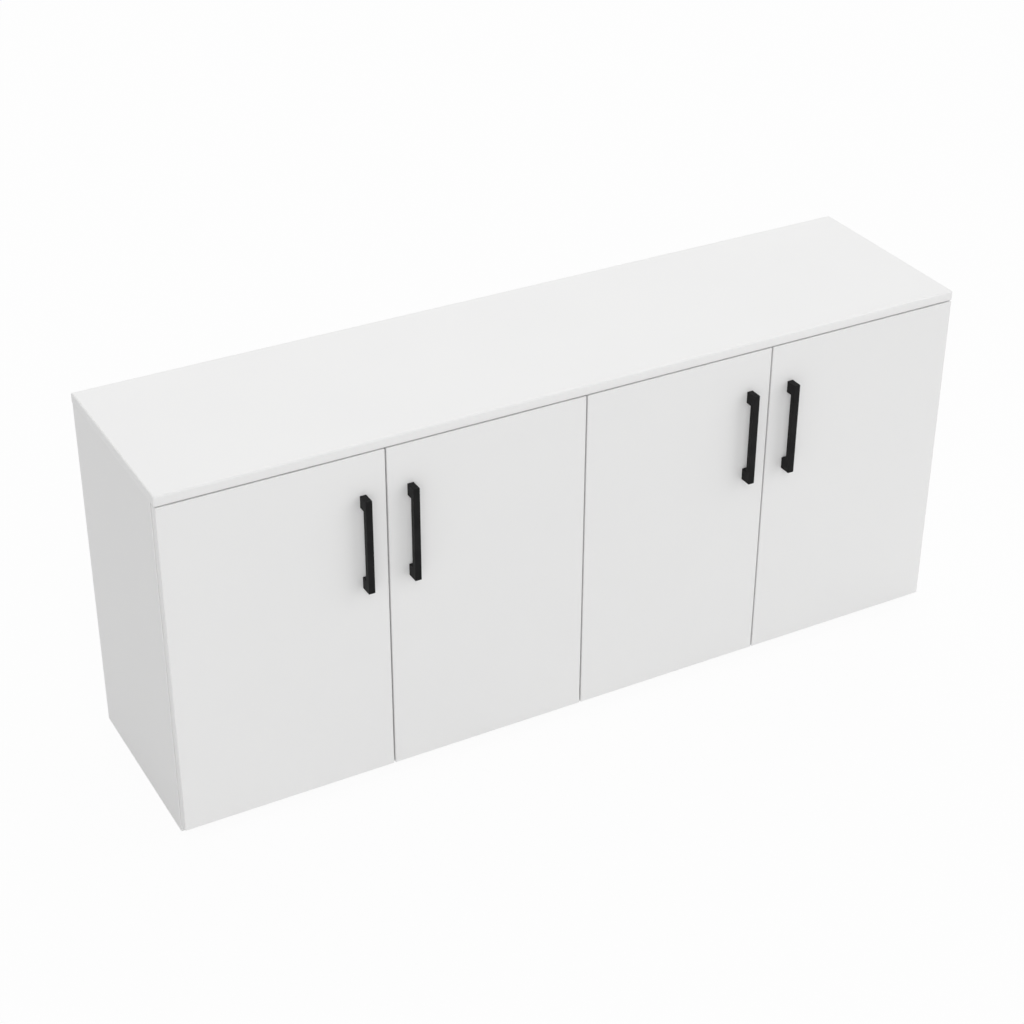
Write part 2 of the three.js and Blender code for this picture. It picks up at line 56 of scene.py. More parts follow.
camera = bpy.data.objects.new("camera", bpy.data.cameras.new("camera"))
camera.data.lens = LENS_MM
bpy.context.scene.collection.objects.link(camera)
bpy.context.scene.camera = camera
level = math.cos(CAMERA_ELEVATION)
backwards = Vector((
    math.sin(CAMERA_AZIMUTH) * level,
    -math.cos(CAMERA_AZIMUTH) * level,
    math.sin(CAMERA_ELEVATION),
))
camera.matrix_world = (
    Matrix.Translation(AIM + backwards * CAMERA_DISTANCE)
    @ backwards.to_track_quat("Z", "Y").to_matrix().to_4x4()
    @ Matrix.Rotation(CAMERA_ROLL, 4, "Z")
)

# Floor and light
# A white studio: one seamless pale floor, an even white surround and four soft lamps, which are a key on the
# right, a high and a low fill in front and a back light above. The floor is seen as nearly pure white, and
# the object's shadow stays in it as a faint tone.
WHITE = (1.0, 1.0, 1.0, 1.0)
FLOOR_SIZE = 40.0
FLOOR_DROP = 0.0004
FLOOR_COLOUR = (0.75, 0.75, 0.75, 1.0)
FLOOR_ROUGHNESS = 0.9
FLOOR_WHITE_SHARE = 0.95
SURROUND_STRENGTH = 0.495
KEY_FROM = Vector((0.80, -0.40, 0.45))
KEY_STRENGTH = 0.66
KEY_SPREAD = math.radians(60)
HIGH_FILL_FROM = Vector((-0.15, -0.72, 0.68))
HIGH_FILL_STRENGTH = 0.56
HIGH_FILL_SPREAD = math.radians(30)
LOW_FILL_FROM = Vector((-0.51, -0.82, 0.25))
LOW_FILL_STRENGTH = 0.47
LOW_FILL_SPREAD = math.radians(40)
BACK_LIGHT_FROM = Vector((0.30, 0.65, 0.70))
BACK_LIGHT_STRENGTH = 0.88
BACK_LIGHT_SPREAD = math.radians(60)


class Value:
    """What a socket of a node tree puts out: arithmetic on it adds Math nodes."""

    def __init__(self, tree, socket):
        self.tree = tree
        self.socket = socket

    def maths(self, operation, *operands):
        node = self.tree.nodes.new("ShaderNodeMath")
        node.operation = operation
        for slot, operand in zip(node.inputs, operands):
            if isinstance(operand, Value):
                self.tree.links.new(operand.socket, slot)
            else:
                slot.default_value = operand
        return Value(self.tree, node.outputs[0])

    def __add__(self, other):
        return self.maths("ADD", self, other)

    def __sub__(self, other):
        return self.maths("SUBTRACT", self, other)

    def __mul__(self, other):
        return self.maths("MULTIPLY", self, other)

    def __radd__(self, other):
        return self.maths("ADD", other, self)

    def __rsub__(self, other):
        return self.maths("SUBTRACT", other, self)

    def __rmul__(self, other):
        return self.maths("MULTIPLY", other, self)

    def __abs__(self):
        return self.maths("ABSOLUTE", self)

    def larger(self, other):
        return self.maths("MAXIMUM", self, other)


class Nodes:
    """A node tree that is written as calls: each call makes one node and gives back what it puts out."""

    def __init__(self, tree):
        self.tree = tree

    def node(self, kind, settings=None, inputs=None, output=0):
        """One node: its settings first, then a value, a link or a list of links for each named input."""
        made = self.tree.nodes.new(kind)
        for name, setting in (settings or {}).items():
            if name == "stops":
                self.set_stops(made.color_ramp.elements, setting)
            else:
                setattr(made, name, setting)
        for name, given in (inputs or {}).items():
            slot = self.find(made.inputs, name)
            for link in given if isinstance(given, list) else [given]:
                if isinstance(link, Value):
                    self.tree.links.new(link.socket, slot)
                else:
                    slot.default_value = link
        if isinstance(output, tuple):
            return [Value(self.tree, self.find(made.outputs, name)) for name in output]
        return Value(self.tree, self.find(made.outputs, output))

    @staticmethod
    def find(sockets, name):
        """The socket with a number, or the one in use with a name or an identifier."""
        if isinstance(name, int):
            return sockets[name]
        same = [socket for socket in sockets if name in (socket.identifier, socket.name)]
        return next(socket for socket in same if socket.enabled)

    @staticmethod
    def set_stops(elements, stops):
        while len(elements) < len(stops):
            elements.new(1.0)
        for element, (place, shade) in zip(elements, stops):
            element.position = place
            element.color = (shade, shade, shade, 1.0)

    def mix(self, first, second, factor):
        inputs = {"A_Color": first, "B_Color": second, "Factor_Float": factor}
        return self.node("ShaderNodeMix", {"data_type": "RGBA"}, inputs, "Result_Color")


class Finish(Nodes):
    """A material of one Principled shader, with its even values set on the shader's own sockets."""

    def __init__(self, name, even):
        self.material = bpy.data.materials.new(name)
        self.material.use_nodes = True
        super().__init__(self.material.node_tree)
        self.shader = self.tree.nodes["Principled BSDF"]
        for label, value in even.items():
            self.shader.inputs[label].default_value = value
        self.place = self.node("ShaderNodeTexCoord", output="Object")

    def noise(self, scale=1.0, detail=2.0, roughness=0.5, place=None):
        inputs = {"Vector": place or self.place, "Scale": scale, "Detail": detail, "Roughness": roughness}
        return self.node("ShaderNodeTexNoise", None, inputs, "Fac")

    def stretched(self, scale, source=None):
        inputs = {"Vector": source or self.place, "Scale": scale}
        return self.node("ShaderNodeMapping", None, inputs)

    def ramp(self, value, *stops):
        """A value graded between stops, each a place from 0 to 1 and the level there."""
        return self.node("ShaderNodeValToRGB", {"stops": stops}, {"Fac": value})

    def drive(self, label, value):
        self.tree.links.new(value.socket, self.shader.inputs[label])

    def bump(self, height, distance, strength):
        inputs = {"Height": height, "Distance": distance, "Strength": strength}
        self.drive("Normal", self.node("ShaderNodeBump", None, inputs, "Normal"))


def seen_white(nodes):
    """One for rays that meet the white ground: the camera's own, and those off gloss and through glass."""
    kinds = ("Is Camera Ray", "Is Glossy Ray", "Is Transmission Ray")
    direct, off_gloss, through_glass = nodes.node("ShaderNodeLightPath", output=kinds)
    return direct.larger(off_gloss).larger(through_glass)


def floor_material():
    """A pale matt floor that is seen as nearly pure white, so that a shadow on it stays faint."""
    finish = Finish("studio_floor", {"Base Color": FLOOR_COLOUR, "Roughness": FLOOR_ROUGHNESS})
    white = finish.node("ShaderNodeEmission", None, {"Color": WHITE, "Strength": 1.0})
    lit = Value(finish.tree, finish.shader.outputs[0])
    share = seen_white(finish) * FLOOR_WHITE_SHARE
    shown = finish.node("ShaderNodeMixShader", None, {0: share, 1: lit, 2: white})
    finish.tree.links.new(shown.socket, finish.tree.nodes["Material Output"].inputs["Surface"])
    return finish.material


half = FLOOR_SIZE / 2
corners = [(x * half, y * half, -FLOOR_DROP) for x, y in ((-1, -1), (1, -1), (1, 1), (-1, 1))]
floor_mesh = bpy.data.meshes.new("studio_floor")
floor_mesh.from_pydata(corners, [], [(0, 1, 2, 3)])
floor_mesh.materials.append(floor_material())
floor = bpy.data.objects.new("studio_floor", floor_mesh)
bpy.context.scene.collection.objects.link(floor)

world = bpy.data.worlds.new("white_surround")
world.use_nodes = True
bpy.context.scene.world = world
surround = Nodes(world.node_tree)
lighting = surround.node("ShaderNodeBackground", None, {"Color": WHITE, "Strength": SURROUND_STRENGTH})
backdrop = surround.node("ShaderNodeBackground", None, {"Color": WHITE, "Strength": 1.0})
shown = surround.node("ShaderNodeMixShader", None, {0: seen_white(surround), 1: lighting, 2: backdrop})
world.node_tree.links.new(shown.socket, world.node_tree.nodes["World Output"].inputs["Surface"])


def add_lamp(name, comes_from, strength, spread):
    """A soft lamp so far away that its light is even over the whole object."""
    lamp = bpy.data.objects.new(name, bpy.data.lights.new(name, "SUN"))
    lamp.data.energy = strength
    lamp.data.angle = spread
    lamp.matrix_world = comes_from.to_track_quat("Z", "Y").to_matrix().to_4x4()
    bpy.context.scene.collection.objects.link(lamp)


add_lamp("key_lamp", KEY_FROM, KEY_STRENGTH, KEY_SPREAD)
add_lamp("high_fill", HIGH_FILL_FROM, HIGH_FILL_STRENGTH, HIGH_FILL_SPREAD)
add_lamp("low_fill", LOW_FILL_FROM, LOW_FILL_STRENGTH, LOW_FILL_SPREAD)
add_lamp("back_light", BACK_LIGHT_FROM, BACK_LIGHT_STRENGTH, BACK_LIGHT_SPREAD)
bpy.context.scene.view_settings.view_transform = "Standard"

# End panels and centre partition
# The three uprights are 18 mm particle board faced with white melamine, with a plastic band glued along the
# edges that show. Pin holes and the back panel's groove are cut after facing, so bare board shows in them.
X, Y, Z = range(3)
FRONT_EDGE = (Y, -1)
BACK_EDGE = (Y, 1)
BAND_THICKNESS = 0.001
SEAM_SOFTNESS = 0.00012
SHARP = math.radians(25)
FLAT = math.radians(0.5)
ROUND_PROFILE = 0.5
FACING_COSINE = 0.5
WELD = 1e-6
RESIN_SPECULAR = 0.45
MELAMINE_WHITE = (0.836, 0.835, 0.832, 1.0)
MELAMINE_SHADE = (0.828, 0.827, 0.825, 1.0)
MELAMINE_ROUGHNESS = 0.40
DRIFT_SCALE = 3.1
SMEAR_SCALE = 11.0
SMEAR_ROUGHENS = 0.05
GRAIN_SCALE = 1400.0
GRAIN_ROUGHENS = 0.08
GRAIN_DEPTH = 0.00003
CHIP_PALE = (0.52, 0.37, 0.22, 1.0)
CHIP_DARK = (0.26, 0.16, 0.085, 1.0)
CHIP_ROUGHNESS = 0.9
CHIP_SCALE = 620.0
CHIP_FIBRE_SCALE = 2500.0
CHIP_DEPTH = 0.0002
BAND_MAP = "along_band"
BAND_WHITE = (0.846, 0.845, 0.843, 1.0)
BAND_SHADE = (0.827, 0.826, 0.824, 1.0)
BAND_ROUGHNESS = 0.36
BAND_TONE_SCALE = (3.0, 40.0, 1.0)
SCRAPER_SCALE = (6.0, 2600.0, 1.0)
SCRAPER_ROUGHENS = 0.14
SCRAPER_DEPTH = 0.00002


def melamine():
    """Satin white facing: a fine pearl grain pressed into the resin, and a very faint drift of tone."""
    finish = Finish("white_melamine", {"Specular IOR Level": RESIN_SPECULAR})
    drift = finish.noise(DRIFT_SCALE, detail=3.0)
    grain = finish.noise(GRAIN_SCALE, roughness=0.6)
    smears = finish.noise(SMEAR_SCALE, detail=3.0)
    whiter = finish.ramp(drift, (0.3, 0), (0.6, 1))
    finish.drive("Base Color", finish.mix(MELAMINE_SHADE, MELAMINE_WHITE, whiter))
    finish.drive("Roughness", MELAMINE_ROUGHNESS + GRAIN_ROUGHENS * grain + SMEAR_ROUGHENS * smears)
    finish.bump(grain, GRAIN_DEPTH, strength=0.35)
    return finish.material


def chipboard():
    """The bare board in holes and grooves and on edges with no band: pressed wood chips of many tones."""
    finish = Finish("bare_chipboard", {"Roughness": CHIP_ROUGHNESS})
    inputs = {"Vector": finish.place, "Scale": CHIP_SCALE}
    chips = finish.node("ShaderNodeTexVoronoi", None, inputs, "Color")
    tone = finish.node("ShaderNodeRGBToBW", None, {"Color": chips})
    paler = finish.ramp(tone, (0.1, 0), (0.7, 1))
    finish.drive("Base Color", finish.mix(CHIP_DARK, CHIP_PALE, paler))
    finish.bump(tone + finish.noise(CHIP_FIBRE_SCALE), CHIP_DEPTH, strength=0.6)
    return finish.material


def edge_band():
    """Extruded plastic band: a touch glossier than the facing, with fine scraper lines along its length."""
    finish = Finish("white_edge_band", {"Specular IOR Level": RESIN_SPECULAR})
    along = finish.node("ShaderNodeUVMap", {"uv_map": BAND_MAP})
    lines = finish.noise(detail=3.0, roughness=0.6, place=finish.stretched(SCRAPER_SCALE, along))
    tone = finish.noise(place=finish.stretched(BAND_TONE_SCALE, along))
    whiter = finish.ramp(tone, (0.25, 0), (0.6, 1))
    finish.drive("Base Color", finish.mix(BAND_SHADE, BAND_WHITE, whiter))
    finish.drive("Roughness", BAND_ROUGHNESS + SCRAPER_ROUGHENS * lines)
    finish.bump(lines, SCRAPER_DEPTH, strength=0.4)
    return finish.material


WHITE_FACING = melamine()
BARE_BOARD = chipboard()
WHITE_BAND = edge_band()


def cad_copy(node):
    """The CAD solid as a mesh with shared corners and whole flat faces."""
    solid = bmesh.new()
    solid.from_mesh(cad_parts[node].data)
    bmesh.ops.remove_doubles(solid, verts=solid.verts, dist=WELD)
    bmesh.ops.dissolve_limit(solid, angle_limit=FLAT, verts=solid.verts, edges=solid.edges)
    for face in solid.faces:
        face.smooth = False
    return solid


def cut_behind(solid, point, outward):
    """What lies behind a plane, as a closed solid of its own."""
    kept = solid.copy()
    everything = kept.verts[:] + kept.edges[:] + kept.faces[:]
    sliced = bmesh.ops.bisect_plane(
        kept, geom=everything, dist=WELD, plane_co=point, plane_no=outward, clear_outer=True
    )
    rim = [part for part in sliced["geom_cut"] if isinstance(part, bmesh.types.BMEdge)]
    bmesh.ops.edgeloop_fill(kept, edges=rim)
    bmesh.ops.recalc_face_normals(kept, faces=kept.faces)
    return kept


def soften(solid, width, steps=2):
    """Rounds every sharp edge a little and clears the slivers that this leaves.

    Roundings and round walls are shaded as curves, flat faces as flat.
    """
    sharp = []
    for edge in solid.edges:
        angle = edge.calc_face_angle()
        if angle > SHARP:
            sharp.append(edge)
        elif angle > FLAT:
            for face in edge.link_faces:
                face.smooth = True
    made = bmesh.ops.bevel(
        solid,
        geom=sharp,
        offset=width,
        segments=steps,
        profile=ROUND_PROFILE,
        affect="EDGES",
        clamp_overlap=True,
    )
    for face in made["faces"]:
        face.smooth = True
    bmesh.ops.dissolve_degenerate(solid, dist=WELD, edges=solid.edges)


def finished(name, solid, materials, body, slot, *replaced):
    """A piece at the origin with the given materials, riding on a body in place of CAD nodes."""
    mesh = bpy.data.meshes.new(name)
    solid.to_mesh(mesh)
    solid.free()
    for material in materials:
        mesh.materials.append(material)
    piece = bpy.data.objects.new(name, mesh)
    bpy.context.scene.collection.objects.link(piece)
    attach(piece, body)
    if replaced:
        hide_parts(*replaced)


def lay_along(solid, length_axis, thickness_axis):
    """The band's own map: metres along its length, then metres across the board's thickness."""
    layer = solid.loops.layers.uv.new(BAND_MAP)
    for face in solid.faces:
        for loop in face.loops:
            loop[layer].uv = (loop.vert.co[length_axis], loop.vert.co[thickness_axis])


def joined(solids):
    """Several solids in one mesh, their maps kept."""
    whole = bmesh.new()
    for solid in solids:
        step = bpy.data.meshes.new("step")
        solid.to_mesh(step)
        solid.free()
        whole.from_mesh(step)
        bpy.data.meshes.remove(step)
    return whole


def add_board(node, body, thickness_axis, banded, board=None, band_thickness=BAND_THICKNESS):
    """A faced board in place of its CAD node, with a glued band on each edge in banded.

    An edge is an axis and a side of it. A board that isn't the plain CAD solid is handed in.
    """
    low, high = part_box(node)
    board = board or cad_copy(node)
    bands = []
    for axis, side in banded:
        outward = Vector([side if k == axis else 0 for k in (X, Y, Z)])
        seam = (high if side > 0 else low) - outward * band_thickness
        band = cut_behind(board, seam, -outward)
        board = cut_behind(board, seam, outward)
        soften(band, SEAM_SOFTNESS)
        length_axis = X + Y + Z - axis - thickness_axis
        lay_along(band, length_axis, thickness_axis)
        bands.append(band)
    soften(board, SEAM_SOFTNESS)
    for face in board.faces:
        depth = face.calc_center_median()[thickness_axis]
        from_facing = min(abs(depth - end[thickness_axis]) for end in (low, high))
        faced = from_facing < BAND_THICKNESS and abs(face.normal[thickness_axis]) > FACING_COSINE
        face.material_index = 0 if faced else 1
    finished(f"{node}_board", board, (WHITE_FACING, BARE_BOARD), body, "white_board", node)
    finished(f"{node}_edge_band", joined(bands), (WHITE_BAND,), body, "white_board")


add_board("left_side", "carcass", X, [FRONT_EDGE, BACK_EDGE])
add_board("right_side", "carcass", X, [FRONT_EDGE, BACK_EDGE])
add_board("centre_partition", "carcass", X, [FRONT_EDGE])

# Bottom board and back panel
# The bottom board lies between the end panels and only its front edge is banded. The back is a thin sheet of
# fibreboard with a white paper face, slid into the grooves of the end panels before the top goes on.
PAPER_WHITE = (0.80, 0.80, 0.785, 1.0)
PAPER_SHADE = (0.755, 0.755, 0.735, 1.0)
PAPER_SPECULAR = 0.3
PAPER_ROUGHNESS = 0.6
FIBRE_SCALE = (260.0, 260.0, 900.0)
FIBRE_ROUGHENS = 0.12
FIBRE_DEPTH = 0.00006


def paper_face():
    """Painted paper on fibreboard: matt, with a soft fibre pattern."""
    finish = Finish("white_paper_face", {"Specular IOR Level": PAPER_SPECULAR})
    fibres = finish.noise(detail=4.0, roughness=0.65, place=finish.stretched(FIBRE_SCALE))
    whiter = finish.ramp(fibres, (0.25, 0), (0.65, 1))
    finish.drive("Base Color", finish.mix(PAPER_SHADE, PAPER_WHITE, whiter))
    finish.drive("Roughness", PAPER_ROUGHNESS + FIBRE_ROUGHENS * fibres)
    finish.bump(fibres, FIBRE_DEPTH, strength=0.5)
    return finish.material


add_board("bottom_panel", "carcass", Z, [FRONT_EDGE])
back_sheet = cad_copy("back_panel")
soften(back_sheet, SEAM_SOFTNESS)
finished("back_panel_sheet", back_sheet, (paper_face(),), "carcass", "white_board", "back_panel")

# Top
# The top lies over the uprights, flush with the doors in front, and is drawn down by hidden cam fittings.
# Its four edges have a thicker band, well rounded above and at the corners and only eased below.
LEFT_EDGE = (X, -1)
RIGHT_EDGE = (X, 1)
TOP_BAND = 0.003
TOP_ROUND_STEPS = 8
TOP_EASED_BELOW = 0.0008
TOP_EASED_STEPS = 3


def rounded_top(low, high):
    """The top's block: its upper edges and corners rounded to the band's thickness, its lower edges eased."""
    block = bmesh.new()
    bmesh.ops.create_cube(block, size=1.0)
    for corner in block.verts:
        corner.co = [high[k] if corner.co[k] > 0 else low[k] for k in (X, Y, Z)]
    rounded = (False, TOP_BAND, TOP_ROUND_STEPS)
    eased = (True, TOP_EASED_BELOW, TOP_EASED_STEPS)
    for is_lower, radius, steps in (rounded, eased):
        edges = [
            edge for edge in block.edges
            if all(corner.co.z < low.z + WELD for corner in edge.verts) == is_lower
        ]
        made = bmesh.ops.bevel(
            block, geom=edges, offset=radius, segments=steps, profile=ROUND_PROFILE, affect="EDGES"
        )
        for face in made["faces"]:
            face.smooth = True
    return block


add_board(
    "top_panel",
    "carcass",
    Z,
    [LEFT_EDGE, RIGHT_EDGE, FRONT_EDGE, BACK_EDGE],
    board=rounded_top(*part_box("top_panel")),
    band_thickness=TOP_BAND,
)

# Cam caps, and the screws through the back and the bottom
# White moulded caps close the cam fittings that draw the boards together: on the uprights near the top and
# under the bottom board. Zinc plated screws hold the back panel, and the partition from below.
X_AXIS = Vector((1, 0, 0))
Y_AXIS = Vector((0, 1, 0))
Z_AXIS = Vector((0, 0, 1))
HEAD_SIDES = 20
CROWN_STEPS = 4
CROWN_END = math.radians(75)
BLADE_SHARE = 0.26
HEAD_SHARP = math.radians(35)
OUTWARD = "out"
SPIN_SEED = 7
CAM_CAP = {"Radius": 0.0085, "Rim": 0.0005, "Crown": 0.0007}
CAM_FROM_JOINT = 0.034
CAM_FROM_FRONT = 0.060
CAM_FROM_BACK = 0.060
BACK_SCREW = {"Radius": 0.0036, "Rim": 0.0002, "Crown": 0.0008, "Recess": 0.0042}
SCREW_ROW_STEPS = (-1.5, -0.5, 0.5, 1.5)
SPACING_ALONG_BOTTOM = 0.400
SPACING_UP_PARTITION = 0.150
CAP_WHITE = (0.80, 0.80, 0.79, 1.0)
CAP_SHADE = (0.74, 0.74, 0.73, 1.0)
CAP_ROUGHNESS = 0.35
FLOW_SCALE = 60.0
SPARK_SCALE = 5200.0
SPARK_ROUGHENS = 0.12
SPARK_DEPTH = 0.00003
ZINC_PALE = (0.66, 0.67, 0.68, 1.0)
ZINC_DULL = (0.47, 0.48, 0.49, 1.0)
ZINC_ROUGHNESS = 0.30
CLOUD_SCALE = 95.0
CLOUD_ROUGHENS = 0.16
ROLLING_SCALE = (900.0, 900.0, 7000.0)
ROLLING_ROUGHENS = 0.06
ROLLING_DEPTH = 0.00001


def moulded(name, colour, flow_marks, roughness):
    """Moulded plastic: a fine spark-eroded texture and slight flow marks."""
    finish = Finish(name, {"Specular IOR Level": RESIN_SPECULAR})
    flow = finish.noise(FLOW_SCALE, detail=3.0, roughness=0.6)
    spark = finish.noise(SPARK_SCALE)
    unmarked = finish.ramp(flow, (0.3, 0), (0.65, 1))
    finish.drive("Base Color", finish.mix(flow_marks, colour, unmarked))
    finish.drive("Roughness", roughness + SPARK_ROUGHENS * spark)
    finish.bump(spark, SPARK_DEPTH, strength=0.5)
    return finish.material


def plated(name, pale, dull, roughness):
    """Plated steel: bright, with cloudy patches where the plating dulled, and fine lines from rolling."""
    finish = Finish(name, {"Metallic": 1.0})
    cloud = finish.noise(CLOUD_SCALE, detail=4.0, roughness=0.6)
    lines = finish.noise(roughness=0.6, place=finish.stretched(ROLLING_SCALE))
    paler = finish.ramp(cloud, (0.32, 0), (0.58, 1))
    finish.drive("Base Color", finish.mix(dull, pale, paler))
    finish.drive("Roughness", roughness + CLOUD_ROUGHENS * cloud + ROLLING_ROUGHENS * lines)
    finish.bump(lines, ROLLING_DEPTH, strength=0.5)
    return finish.material


def head_shape(nodes, given, recessed):
    """One head that stands up along Z: a rim, a crown in steps and, on a screw, a cross recess."""

    def vector(x, y, z):
        return nodes.node("ShaderNodeCombineXYZ", None, {"X": x, "Y": y, "Z": z})

    def raised(solid, height):
        inputs = {"Geometry": solid, "Translation": vector(0.0, 0.0, height)}
        return nodes.node("GeometryNodeTransform", None, inputs)

    inputs = {"Vertices": HEAD_SIDES, "Radius": given["Radius"], "Depth": given["Rim"]}
    head, top = nodes.node("GeometryNodeMeshCylinder", {"fill_type": "NGON"}, inputs, ("Mesh", "Top"))
    head = raised(head, 0.5 * given["Rim"])
    for step in range(CROWN_STEPS):
        before, after = [CROWN_END * k / CROWN_STEPS for k in (step, step + 1)]
        rise = given["Crown"] * (math.sin(after) - math.sin(before))
        inputs = {"Mesh": head, "Selection": top, "Offset Scale": rise}
        head, top = nodes.node("GeometryNodeExtrudeMesh", {"mode": "FACES"}, inputs, ("Mesh", "Top"))
        inputs = {"Geometry": head, "Selection": top, "Scale": math.cos(after) / math.cos(before)}
        head = nodes.node("GeometryNodeScaleElements", {"domain": "FACE"}, inputs)
    if not recessed:
        return head
    height = given["Rim"] + given["Crown"]
    long = given["Recess"]
    short = BLADE_SHARE * given["Recess"]
    blades = []
    for x, y in ((long, short), (short, long)):
        blade = nodes.node("GeometryNodeMeshCube", None, {"Size": vector(x, y, height)}, "Mesh")
        blades.append(raised(blade, height))
    cut = {"operation": "DIFFERENCE", "solver": "EXACT"}
    return nodes.node("GeometryNodeMeshBoolean", cut, {"Mesh 1": head, "Mesh 2": blades}, "Mesh")


def seated(nodes, head, places):
    """The head on each point, square to the point's own outward direction and spun about it at random."""
    kind = {"data_type": "FLOAT_VECTOR"}
    out = nodes.node("GeometryNodeInputNamedAttribute", kind, {"Name": OUTWARD}, "Attribute")
    facing = nodes.node("FunctionNodeAlignRotationToVector", {"axis": "Z"}, {"Vector": out})
    inputs = {"Min": 0.0, "Max": math.tau, "Seed": SPIN_SEED}
    angle = nodes.node("FunctionNodeRandomValue", {"data_type": "FLOAT"}, inputs, "Value")
    spin = nodes.node("FunctionNodeAxisAngleToRotation", None, {"Axis": Z_AXIS, "Angle": angle})
    inputs = {"Rotation": facing, "Rotate By": spin}
    turn = nodes.node("FunctionNodeRotateRotation", {"rotation_space": "LOCAL"}, inputs)
    inputs = {"Points": places, "Instance": head, "Rotation": turn}
    return nodes.node("GeometryNodeInstanceOnPoints", None, inputs)


def round_head(name, recessed):
    """Geometry Nodes that put a round head on each point, with the head's sizes and finish as inputs."""
    nodes = Nodes(bpy.data.node_groups.new(name, "GeometryNodeTree"))
    sockets = nodes.tree.interface
    sockets.new_socket("Places", in_out="INPUT", socket_type="NodeSocketGeometry")
    for label in ("Radius", "Rim", "Crown", "Recess"):
        sockets.new_socket(label, in_out="INPUT", socket_type="NodeSocketFloat")
    sockets.new_socket("Finish", in_out="INPUT", socket_type="NodeSocketMaterial")
    sockets.new_socket("Heads", in_out="OUTPUT", socket_type="NodeSocketGeometry")
    group_input = nodes.tree.nodes.new("NodeGroupInput")
    given = {socket.name: Value(nodes.tree, socket) for socket in group_input.outputs}
    heads = seated(nodes, head_shape(nodes, given, recessed), given["Places"])
    real = nodes.node("GeometryNodeRealizeInstances", None, {"Geometry": heads})
    inputs = {"Geometry": real, "Material": given["Finish"]}
    coated = nodes.node("GeometryNodeSetMaterial", None, inputs)
    group_output = nodes.tree.nodes.new("NodeGroupOutput")
    nodes.tree.links.new(coated.socket, group_output.inputs["Heads"])
    return nodes.tree


DOME = round_head("dome_head", False)
CROSS = round_head("cross_head", True)
WHITE_CAP = moulded("white_cap", CAP_WHITE, CAP_SHADE, CAP_ROUGHNESS)
ZINC = plated("zinc_plate", ZINC_PALE, ZINC_DULL, ZINC_ROUGHNESS)


def set_heads(name, tree, sizes, finish, places, body):
    """One head at each (point, outward) of places, as one plain mesh that rides on a body."""
    points = bpy.data.meshes.new(name)
    points.from_pydata([point for point, outward in places], [], [])
    outwards = points.attributes.new(OUTWARD, "FLOAT_VECTOR", "POINT")
    for item, (point, outward) in zip(outwards.data, places):
        item.vector = outward
    piece = bpy.data.objects.new(name, points)
    bpy.context.scene.collection.objects.link(piece)
    modifier = piece.modifiers.new("heads", "NODES")
    modifier.node_group = tree
    given = {"Finish": finish, **sizes}
    for socket in tree.interface.items_tree:
        if socket.name in given:
            modifier[socket.identifier] = given[socket.name]
    shaped = piece.evaluated_get(bpy.context.evaluated_depsgraph_get())
    mesh = bpy.data.meshes.new_from_object(shaped)
    mesh.polygons.foreach_set("use_smooth", [True] * len(mesh.polygons))
    mesh.set_sharp_from_angle(angle=HEAD_SHARP)
    piece.modifiers.remove(modifier)
    piece.data = mesh
    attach(piece, body)


partition_low, partition_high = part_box("centre_partition")
bottom_low, bottom_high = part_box("bottom_panel")
back_low, back_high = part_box("back_panel")
cam_rows = (partition_low.y + CAM_FROM_FRONT, partition_high.y - CAM_FROM_BACK)
upright_faces = (
    (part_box("left_side")[1].x, X_AXIS),
    (partition_low.x, -X_AXIS),
    (partition_high.x, X_AXIS),
    (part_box("right_side")[0].x, -X_AXIS),
)
cap_places = []
for row in cam_rows:
    for face, outward in upright_faces:
        cap_places.append(((face, row, partition_high.z - CAM_FROM_JOINT), outward))
    for end, side in ((bottom_low.x, 1), (bottom_high.x, -1)):
        cap_places.append(((end + side * CAM_FROM_JOINT, row, bottom_low.z), -Z_AXIS))
set_heads("cam_caps", DOME, CAM_CAP, WHITE_CAP, cap_places, "carcass")

bottom_line = (bottom_low.z + bottom_high.z) / 2
back_middle = (back_low.z + back_high.z) / 2
screw_places = [((0, row, bottom_low.z), -Z_AXIS) for row in cam_rows]
for step in SCREW_ROW_STEPS:
    screw_places.append(((SPACING_ALONG_BOTTOM * step, back_high.y, bottom_line), Y_AXIS))
    screw_places.append(((0, back_high.y, back_middle + SPACING_UP_PARTITION * step), Y_AXIS))
set_heads("back_and_bottom_screws", CROSS, BACK_SCREW, ZINC, screw_places, "carcass")

# Floor contacts
# A moulded black skid is tacked under each end panel, and one turned foot stands under the middle of the
# bottom board, so that no bare board touches the floor.
SKID_SOFTNESS = 0.0005
PLASTIC_BLACK = (0.022, 0.022, 0.023, 1.0)
PLASTIC_GREY = (0.036, 0.036, 0.037, 1.0)
PLASTIC_ROUGHNESS = 0.48
BLACK_PLASTIC = moulded("black_plastic", PLASTIC_BLACK, PLASTIC_GREY, PLASTIC_ROUGHNESS)

for node in ("left_skid", "right_skid", "centre_foot"):
    contact = cad_copy(node)
    soften(contact, SKID_SOFTNESS, steps=3)
    finished(f"{node}_moulding", contact, (BLACK_PLASTIC,), "carcass", "floor_plastic", node)

# Shelves and their pins
# One loose board in each bay, banded along its front, lies on four nickel plated pins.
# Each pin is a turned shank and collar with a flat pressed tongue.
PINS_UNDER_SHELF = (1, 2, 3, 4)
PIN_SOFTNESS = 0.0002
NICKEL_PALE = (0.68, 0.66, 0.62, 1.0)
NICKEL_DULL = (0.53, 0.51, 0.48, 1.0)
NICKEL_ROUGHNESS = 0.20
NICKEL = plated("nickel_plate", NICKEL_PALE, NICKEL_DULL, NICKEL_ROUGHNESS)

